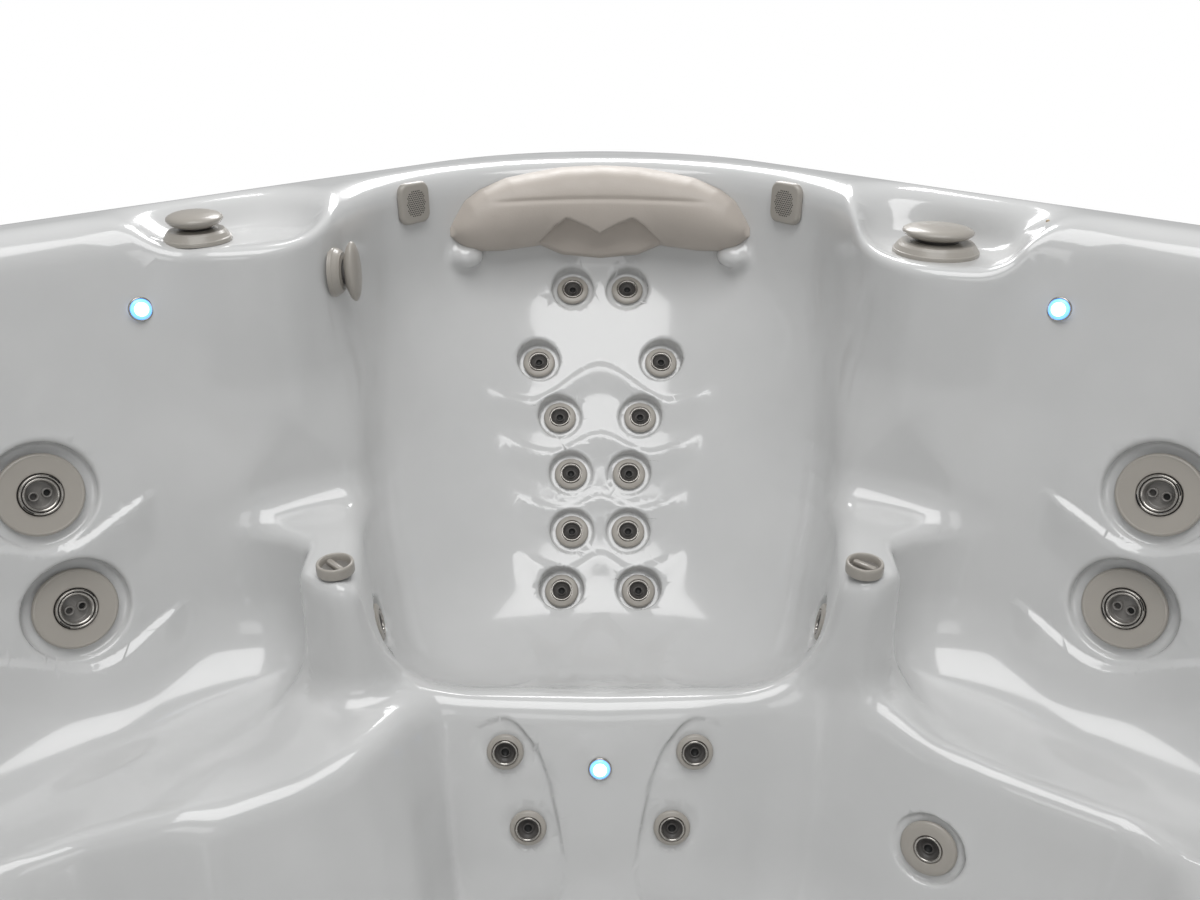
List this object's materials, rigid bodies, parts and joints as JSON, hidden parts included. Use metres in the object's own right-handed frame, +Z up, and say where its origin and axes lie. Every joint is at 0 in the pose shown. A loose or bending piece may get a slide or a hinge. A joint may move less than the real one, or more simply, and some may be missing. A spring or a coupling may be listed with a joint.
{
  "type": "hot tub",
  "caption": "Square hot tub with sculpted corner and side seats, massage jets, a deep footwell, a headrest, diverter knobs, a corner filter, a plank cabinet and its pump.",
  "frame": {"origin": "centre of the square footprint, on the ground", "axes": "+Z up; the corner seat with the headrest and most jets is towards -X and +Y; the access side with the control panel is -Y"},
  "size_m": [2.3, 2.3, 0.9732],
  "materials": {
    "acrylic": "polished acrylic with a faint marble pattern",
    "pan_plastic": "moulded",
    "timber": "sawn",
    "cladding": "embossed planks",
    "steel": "brushed",
    "pillow_foam": "soft, satin",
    "trim": "satin",
    "insert": "satin",
    "lens": "clear, lit",
    "fitting": "moulded",
    "filter_cloth": "pleated",
    "panel_gloss": "gloss",
    "button": "matte",
    "pump_plastic": "moulded"
  },
  "bodies": {
    "tub": {"shell": "acrylic", "base_pan": "pan_plastic", "cabinet_frame": "timber", "cabinet_panels": "cladding", "access_panel": "cladding", "corner_panels": "cladding", "panel_screws": "steel", "pillow": "pillow_foam", "speakers": "trim", "light_lenses": "lens", "jet_bodies": "fitting", "jet_nuts": "fitting", "valve_bodies": "trim", "far_seat_jets": "trim", "suction_covers": "trim", "filter_housing": "trim", "filter_cartridge": "filter_cloth", "control_panel": "panel_gloss", "pump_housing": "pump_plastic", "heater": "steel", "control_box": "pump_plastic", "plumbing": "fitting"},
    "back_jet_1_left": {"back_jet_1_left": "trim"},
    "back_jet_1_right": {"back_jet_1_right": "trim"},
    "back_jet_2_left": {"back_jet_2_left": "trim"},
    "back_jet_2_right": {"back_jet_2_right": "trim"},
    "back_jet_3_left": {"back_jet_3_left": "trim"},
    "back_jet_3_right": {"back_jet_3_right": "trim"},
    "back_jet_4_left": {"back_jet_4_left": "trim"},
    "back_jet_4_right": {"back_jet_4_right": "trim"},
    "back_jet_5_left": {"back_jet_5_left": "trim"},
    "back_jet_5_right": {"back_jet_5_right": "trim"},
    "neck_jet_left": {"neck_jet_left": "trim"},
    "calf_jet_upper_left": {"calf_jet_upper_left": "trim"},
    "calf_jet_lower_left": {"calf_jet_lower_left": "trim"},
    "hip_jet_left": {"hip_jet_left": "trim"},
    "neck_jet_right": {"neck_jet_right": "trim"},
    "calf_jet_upper_right": {"calf_jet_upper_right": "trim"},
    "calf_jet_lower_right": {"calf_jet_lower_right": "trim"},
    "hip_jet_right": {"hip_jet_right": "trim"},
    "foot_jet": {"foot_jet": "trim"},
    "rotary_jet_west_1": {"rotary_jet_west_1": "trim"},
    "rotary_jet_west_2": {"rotary_jet_west_2": "trim"},
    "rotary_jet_north_1": {"rotary_jet_north_1": "trim"},
    "rotary_jet_north_2": {"rotary_jet_north_2": "trim"},
    "rotary_insert_west_1": {"rotary_insert_west_1": "insert"},
    "rotary_insert_west_2": {"rotary_insert_west_2": "insert"},
    "rotary_insert_north_1": {"rotary_insert_north_1": "insert"},
    "rotary_insert_north_2": {"rotary_insert_north_2": "insert"},
    "diverter_knob_north": {"diverter_knob_north": "trim"},
    "diverter_knob_west": {"diverter_knob_west": "trim"},
    "diverter_knob_wall": {"diverter_knob_wall": "trim"},
    "air_control_left": {"air_control_left": "trim"},
    "air_control_right": {"air_control_right": "trim"},
    "filter_lid": {"filter_lid": "trim"},
    "weir_flap": {"weir_flap": "trim"},
    "panel_button_1": {"panel_button_1": "button"},
    "panel_button_2": {"panel_button_2": "button"},
    "panel_button_3": {"panel_button_3": "button"},
    "pump_rotor": {"pump_rotor": "steel"}
  },
  "joints": [
    {"name": "back_jet_1_left_turn", "type": "hinge", "parent": "tub", "child": "back_jet_1_left", "pos_m": [-0.95826, 0.82108, 0.66534], "axis": [0.4768, -0.4768, 0.7385], "range_deg": [0, 90]},
    {"name": "back_jet_1_right_turn", "type": "hinge", "parent": "tub", "child": "back_jet_1_right", "pos_m": [-0.82108, 0.95826, 0.66534], "axis": [0.4768, -0.4768, 0.7385], "range_deg": [0, 90]},
    {"name": "back_jet_2_left_turn", "type": "hinge", "parent": "tub", "child": "back_jet_2_left", "pos_m": [-0.89528, 0.80619, 0.59384], "axis": [0.4768, -0.4768, 0.7385], "range_deg": [0, 90]},
    {"name": "back_jet_2_right_turn", "type": "hinge", "parent": "tub", "child": "back_jet_2_right", "pos_m": [-0.80619, 0.89528, 0.59384], "axis": [0.4768, -0.4768, 0.7385], "range_deg": [0, 90]},
    {"name": "back_jet_3_left_turn", "type": "hinge", "parent": "tub", "child": "back_jet_3_left", "pos_m": [-0.84362, 0.77998, 0.52234], "axis": [0.4768, -0.4768, 0.7385], "range_deg": [0, 90]},
    {"name": "back_jet_3_right_turn", "type": "hinge", "parent": "tub", "child": "back_jet_3_right", "pos_m": [-0.77998, 0.84362, 0.52234], "axis": [0.4768, -0.4768, 0.7385], "range_deg": [0, 90]},
    {"name": "back_jet_4_left_turn", "type": "hinge", "parent": "tub", "child": "back_jet_4_left", "pos_m": [-0.80327, 0.74246, 0.45084], "axis": [0.4768, -0.4768, 0.7385], "range_deg": [0, 90]},
    {"name": "back_jet_4_right_turn", "type": "hinge", "parent": "tub", "child": "back_jet_4_right", "pos_m": [-0.74246, 0.80327, 0.45084], "axis": [0.4768, -0.4768, 0.7385], "range_deg": [0, 90]},
    {"name": "back_jet_5_left_turn", "type": "hinge", "parent": "tub", "child": "back_jet_5_left", "pos_m": [-0.77494, 0.69292, 0.37934], "axis": [0.4768, -0.4768, 0.7385], "range_deg": [0, 90]},
    {"name": "back_jet_5_right_turn", "type": "hinge", "parent": "tub", "child": "back_jet_5_right", "pos_m": [-0.69292, 0.77494, 0.37934], "axis": [0.4768, -0.4768, 0.7385], "range_deg": [0, 90]},
    {"name": "neck_jet_left_turn", "type": "hinge", "parent": "tub", "child": "neck_jet_left", "pos_m": [-0.9736, 0.91138, 0.76234], "axis": [0.4768, -0.4768, 0.7385], "range_deg": [0, 90]},
    {"name": "calf_jet_upper_left_turn", "type": "hinge", "parent": "tub", "child": "calf_jet_upper_left", "pos_m": [-0.59168, 0.42551, 0.35218], "axis": [0.6737, -0.6737, 0.3039], "range_deg": [0, 90]},
    {"name": "calf_jet_lower_left_turn", "type": "hinge", "parent": "tub", "child": "calf_jet_lower_left", "pos_m": [-0.5508, 0.42352, 0.25718], "axis": [0.6737, -0.6737, 0.3039], "range_deg": [0, 90]},
    {"name": "hip_jet_left_turn", "type": "hinge", "parent": "tub", "child": "hip_jet_left", "pos_m": [-0.79518, 0.38285, 0.46396], "axis": [0.567, 0.8052, 0.1736], "range_deg": [0, 90]},
    {"name": "neck_jet_right_turn", "type": "hinge", "parent": "tub", "child": "neck_jet_right", "pos_m": [-0.91138, 0.9736, 0.76234], "axis": [0.4768, -0.4768, 0.7385], "range_deg": [0, 90]},
    {"name": "calf_jet_upper_right_turn", "type": "hinge", "parent": "tub", "child": "calf_jet_upper_right", "pos_m": [-0.42551, 0.59168, 0.35218], "axis": [0.6737, -0.6737, 0.3039], "range_deg": [0, 90]},
    {"name": "calf_jet_lower_right_turn", "type": "hinge", "parent": "tub", "child": "calf_jet_lower_right", "pos_m": [-0.42352, 0.5508, 0.25718], "axis": [0.6737, -0.6737, 0.3039], "range_deg": [0, 90]},
    {"name": "hip_jet_right_turn", "type": "hinge", "parent": "tub", "child": "hip_jet_right", "pos_m": [-0.38285, 0.79518, 0.46396], "axis": [-0.8052, -0.567, 0.1736], "range_deg": [0, 90]},
    {"name": "foot_jet_turn", "type": "hinge", "parent": "tub", "child": "foot_jet", "pos_m": [-0.16624, 0.71913, 0.28818], "axis": [0.2282, -0.925, 0.3039], "range_deg": [0, 90]},
    {"name": "rotary_jet_west_1_turn", "type": "hinge", "parent": "tub", "child": "rotary_jet_west_1", "pos_m": [-1.023, 0.093, 0.67467], "axis": [0.95, 0, 0.3124], "range_deg": [0, 90]},
    {"name": "rotary_jet_west_2_turn", "type": "hinge", "parent": "tub", "child": "rotary_jet_west_2", "pos_m": [-0.99681, 0.093, 0.52917], "axis": [0.95, 0, 0.3124], "range_deg": [0, 90]},
    {"name": "rotary_jet_north_1_turn", "type": "hinge", "parent": "tub", "child": "rotary_jet_north_1", "pos_m": [-0.093, 1.023, 0.67467], "axis": [0, -0.95, 0.3124], "range_deg": [0, 90]},
    {"name": "rotary_jet_north_2_turn", "type": "hinge", "parent": "tub", "child": "rotary_jet_north_2", "pos_m": [-0.093, 0.99681, 0.52917], "axis": [0, -0.95, 0.3124], "range_deg": [0, 90]},
    {"name": "rotary_insert_west_1_spin", "type": "hinge", "parent": "tub", "child": "rotary_insert_west_1", "pos_m": [-1.023, 0.093, 0.67467], "axis": [0.95, 0, 0.3124], "continuous": true},
    {"name": "rotary_insert_west_2_spin", "type": "hinge", "parent": "tub", "child": "rotary_insert_west_2", "pos_m": [-0.99681, 0.093, 0.52917], "axis": [0.95, 0, 0.3124], "continuous": true},
    {"name": "rotary_insert_north_1_spin", "type": "hinge", "parent": "tub", "child": "rotary_insert_north_1", "pos_m": [-0.093, 1.023, 0.67467], "axis": [0, -0.95, 0.3124], "continuous": true},
    {"name": "rotary_insert_north_2_spin", "type": "hinge", "parent": "tub", "child": "rotary_insert_north_2", "pos_m": [-0.093, 0.99681, 0.52917], "axis": [0, -0.95, 0.3124], "continuous": true},
    {"name": "diverter_knob_north_turn", "type": "hinge", "parent": "tub", "child": "diverter_knob_north", "pos_m": [-0.42, 1.031, 0.903], "axis": [0, 0, 1], "range_deg": [0, 180]},
    {"name": "diverter_knob_west_turn", "type": "hinge", "parent": "tub", "child": "diverter_knob_west", "pos_m": [-1.046, 0.342, 0.929], "axis": [0, 0, 1], "range_deg": [0, 180]},
    {"name": "diverter_knob_wall_turn", "type": "hinge", "parent": "tub", "child": "diverter_knob_wall", "pos_m": [-0.98076, 0.48578, 0.875], "axis": [0.7071, 0.7071, 0], "range_deg": [0, 180]},
    {"name": "air_control_left_turn", "type": "hinge", "parent": "tub", "child": "air_control_left", "pos_m": [-0.7665, 0.32103, 0.58], "axis": [0, 0, 1], "range_deg": [0, 120]},
    {"name": "air_control_right_turn", "type": "hinge", "parent": "tub", "child": "air_control_right", "pos_m": [-0.32103, 0.7665, 0.58], "axis": [0, 0, 1], "range_deg": [0, 120]},
    {"name": "filter_lid_hinge", "type": "hinge", "parent": "tub", "child": "filter_lid", "pos_m": [0.90368, -0.90368, 0.965], "axis": [0.7071, 0.7071, 0], "range_deg": [0, 80]},
    {"name": "weir_flap_hinge", "type": "hinge", "parent": "tub", "child": "weir_flap", "pos_m": [0.67175, -0.67175, 0.789], "axis": [0.7071, 0.7071, 0], "range_deg": [0, 75]},
    {"name": "panel_button_1_press", "type": "slide", "parent": "tub", "child": "panel_button_1", "axis": [0, 0, -1], "range_m": [0, 0.0015], "stiffness_N_per_m": 400},
    {"name": "panel_button_2_press", "type": "slide", "parent": "tub", "child": "panel_button_2", "axis": [0, 0, -1], "range_m": [0, 0.0015], "stiffness_N_per_m": 400},
    {"name": "panel_button_3_press", "type": "slide", "parent": "tub", "child": "panel_button_3", "axis": [0, 0, -1], "range_m": [0, 0.0015], "stiffness_N_per_m": 400},
    {"name": "pump_rotor_spin", "type": "hinge", "parent": "tub", "child": "pump_rotor", "pos_m": [0.57983, -0.5374, 0.12], "axis": [-0.7071, -0.7071, 0], "continuous": true}
  ]
}
